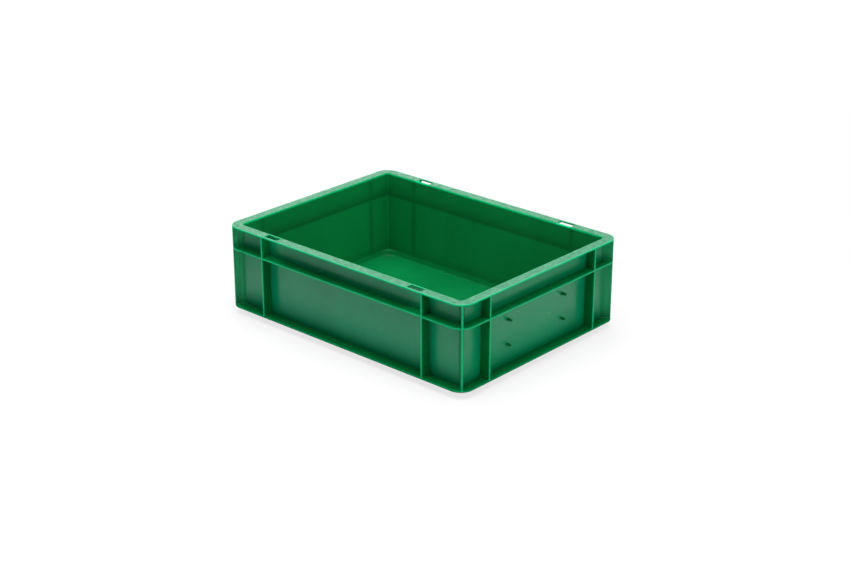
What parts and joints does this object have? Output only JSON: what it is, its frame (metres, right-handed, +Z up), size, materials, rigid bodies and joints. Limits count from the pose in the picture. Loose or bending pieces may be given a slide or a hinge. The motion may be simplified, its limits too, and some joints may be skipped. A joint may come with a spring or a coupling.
{
  "type": "stacking crate",
  "caption": "Open-topped straight-walled plastic stacking crate with a wide slotted rim, outside ribs and flanges, and an inset stacking foot.",
  "frame": {"origin": "centre of the underside of the stacking foot", "axes": "+X along the long side towards the end with the label pegs, +Y across the width towards the back, +Z up towards the open top"},
  "size_m": [0.4, 0.3, 0.12],
  "materials": {
    "green_plastic": "satin green polypropylene"
  },
  "bodies": {
    "root": {"floor_panel": "green_plastic", "foot_front": "green_plastic", "foot_back": "green_plastic", "foot_left": "green_plastic", "foot_right": "green_plastic", "foot_corner_front_left": "green_plastic", "foot_corner_front_right": "green_plastic", "foot_corner_back_left": "green_plastic", "foot_corner_back_right": "green_plastic", "wall_front": "green_plastic", "wall_back": "green_plastic", "wall_left": "green_plastic", "wall_right": "green_plastic", "wall_corner_front_left": "green_plastic", "wall_corner_front_right": "green_plastic", "wall_corner_back_left": "green_plastic", "wall_corner_back_right": "green_plastic", "base_flange_front": "green_plastic", "base_flange_back": "green_plastic", "base_flange_left": "green_plastic", "base_flange_right": "green_plastic", "base_flange_corner_front_left": "green_plastic", "base_flange_corner_front_right": "green_plastic", "base_flange_corner_back_left": "green_plastic", "base_flange_corner_back_right": "green_plastic", "band_front": "green_plastic", "band_back": "green_plastic", "band_left": "green_plastic", "band_right": "green_plastic", "band_corner_front_left": "green_plastic", "band_corner_front_right": "green_plastic", "band_corner_back_left": "green_plastic", "band_corner_back_right": "green_plastic", "ribs_front": "green_plastic", "ribs_back": "green_plastic", "ribs_left": "green_plastic", "ribs_right": "green_plastic", "corner_rib_front_left": "green_plastic", "corner_rib_front_right": "green_plastic", "corner_rib_back_left": "green_plastic", "corner_rib_back_right": "green_plastic", "rim_front": "green_plastic", "rim_back": "green_plastic", "rim_left": "green_plastic", "rim_right": "green_plastic", "rim_corner_front_left": "green_plastic", "rim_corner_front_right": "green_plastic", "rim_corner_back_left": "green_plastic", "rim_corner_back_right": "green_plastic", "label_pegs": "green_plastic"}
  },
  "joints": []
}
